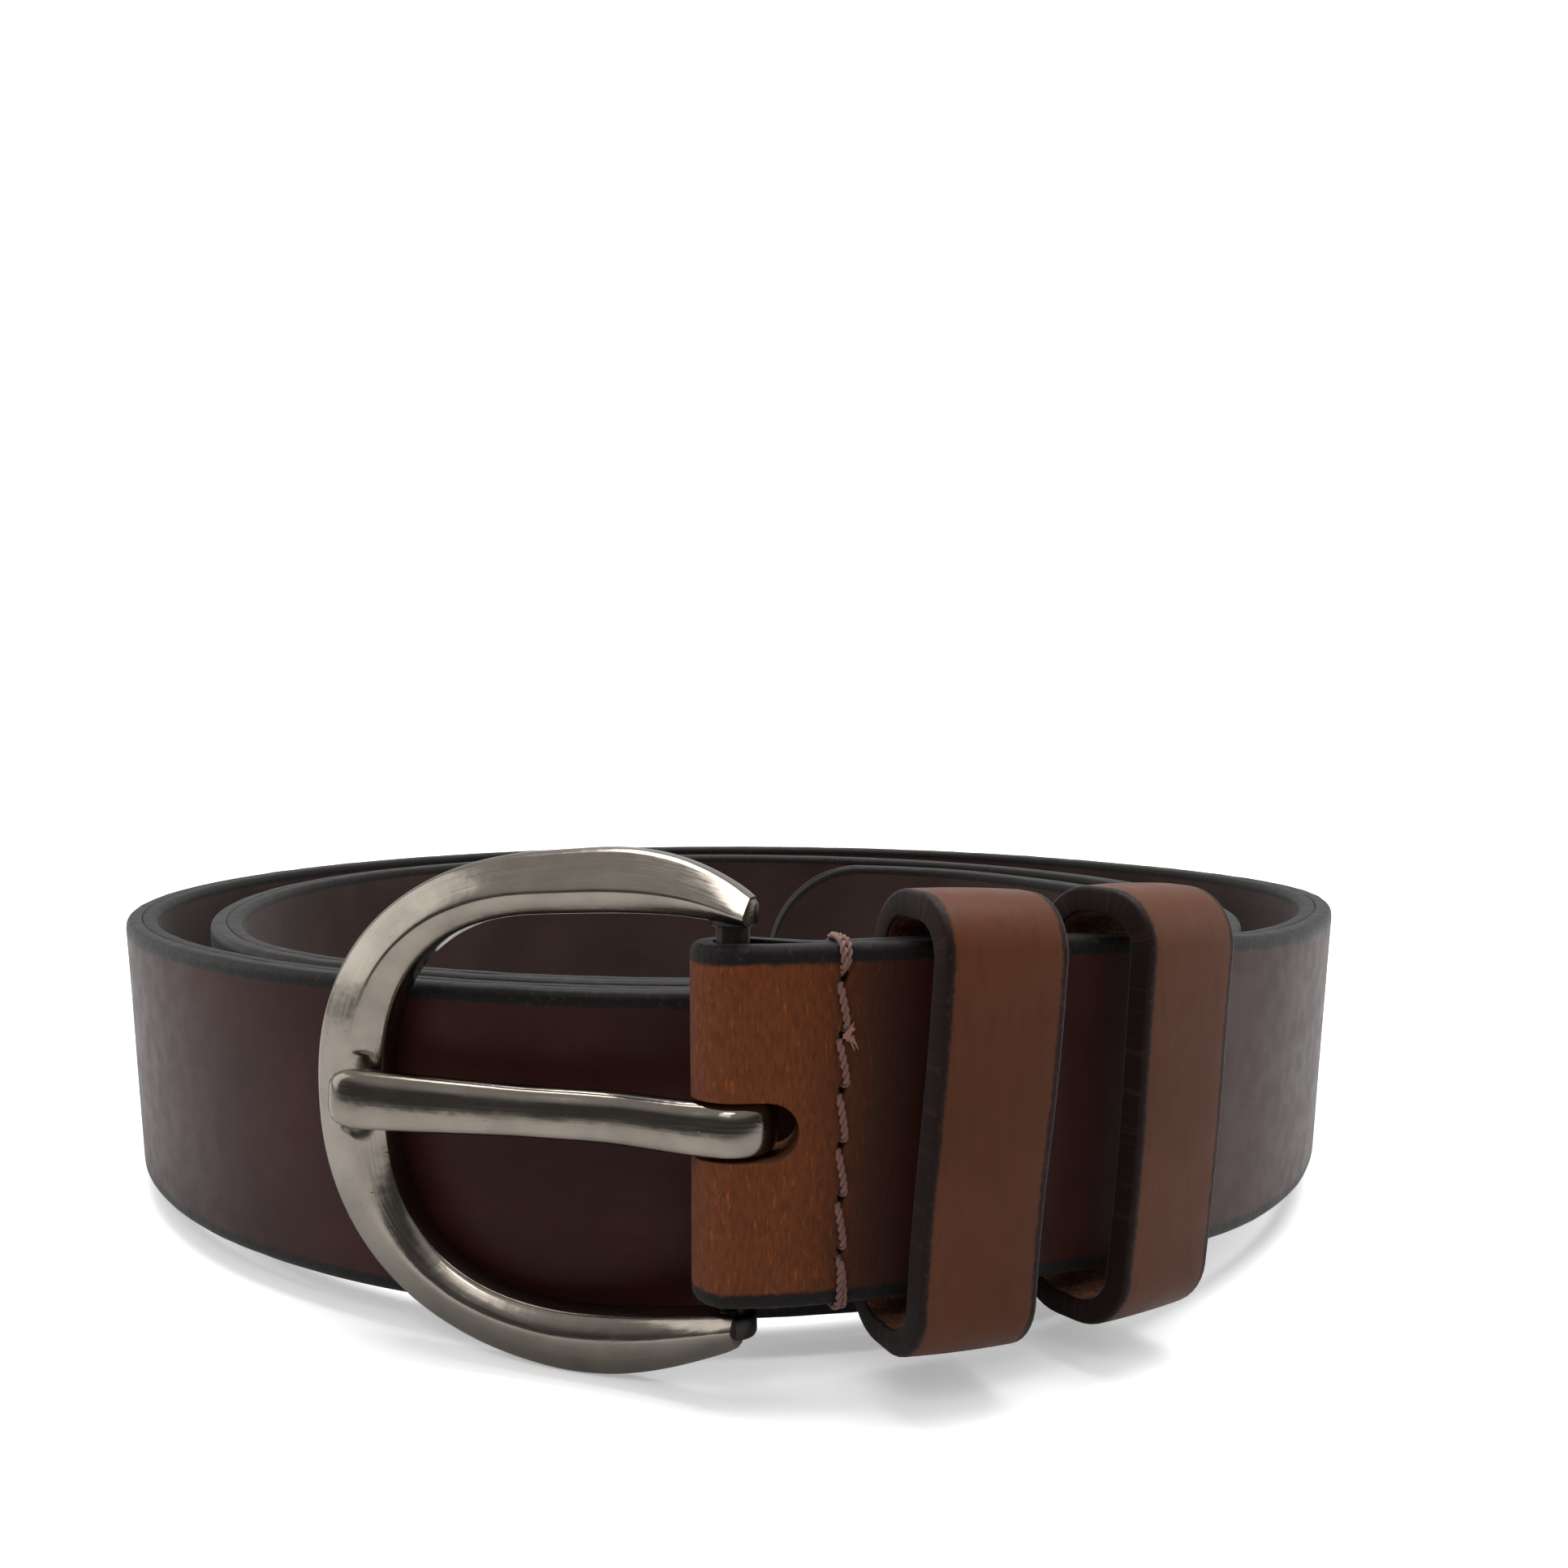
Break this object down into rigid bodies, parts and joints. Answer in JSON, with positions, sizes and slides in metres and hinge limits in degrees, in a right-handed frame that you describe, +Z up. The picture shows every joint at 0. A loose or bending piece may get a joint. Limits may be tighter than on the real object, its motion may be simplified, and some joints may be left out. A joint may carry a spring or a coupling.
{
  "type": "leather belt",
  "caption": "Leather dress belt with a horseshoe prong buckle and keeper loops, wound up and standing on edge.",
  "frame": {"origin": "centre of the belt's box, on the surface that it stands on", "axes": "+Z up; -Y to the front, where the buckle is; +X to the right of someone facing the buckle"},
  "size_m": [0.1792, 0.1962, 0.0542],
  "materials": {
    "strap_leather": "smooth dark brown, waxed, with dark painted edges",
    "lining_leather": "smooth dark brown lining",
    "keeper_leather": "fine grain mid brown, with dark painted edges",
    "thread": "waxed thread",
    "gunmetal": "polished gunmetal plate with light brushing",
    "staple_steel": "bright steel wire"
  },
  "bodies": {
    "strap": {"strap_face": "strap_leather", "strap_lining": "lining_leather", "fold_stitching": "thread"},
    "buckle": {"buckle_frame": "gunmetal", "heel_bar": "gunmetal"},
    "prong": {"prong": "gunmetal"},
    "keeper_1": {"keeper_1": "keeper_leather", "keeper_1_staple": "staple_steel"},
    "keeper_2": {"keeper_2": "keeper_leather", "keeper_2_staple": "staple_steel"}
  },
  "joints": [
    {"name": "buckle_swing", "type": "hinge", "parent": "strap", "child": "buckle", "pos_m": [0.0004, -0.09045, 0.02855], "axis": [0, 0.0248, 0.9997], "range_deg": [0, 70]},
    {"name": "prong_lift", "type": "hinge", "parent": "buckle", "child": "prong", "pos_m": [0.0004, -0.09045, 0.02855], "axis": [0, 0.0248, 0.9997], "range_deg": [0, 50]},
    {"name": "keeper_1_slide", "type": "hinge", "parent": "strap", "child": "keeper_1", "pos_m": [-0.01122, -0.00504, 0.02633], "axis": [0.0228, 0.0338, 0.9992], "range_deg": [-1.6, 2]},
    {"name": "keeper_2_slide", "type": "hinge", "parent": "strap", "child": "keeper_2", "pos_m": [-0.01287, -0.00139, 0.02498], "axis": [0.0629, 0.0691, 0.9956], "range_deg": [-2, 4.5]}
  ]
}
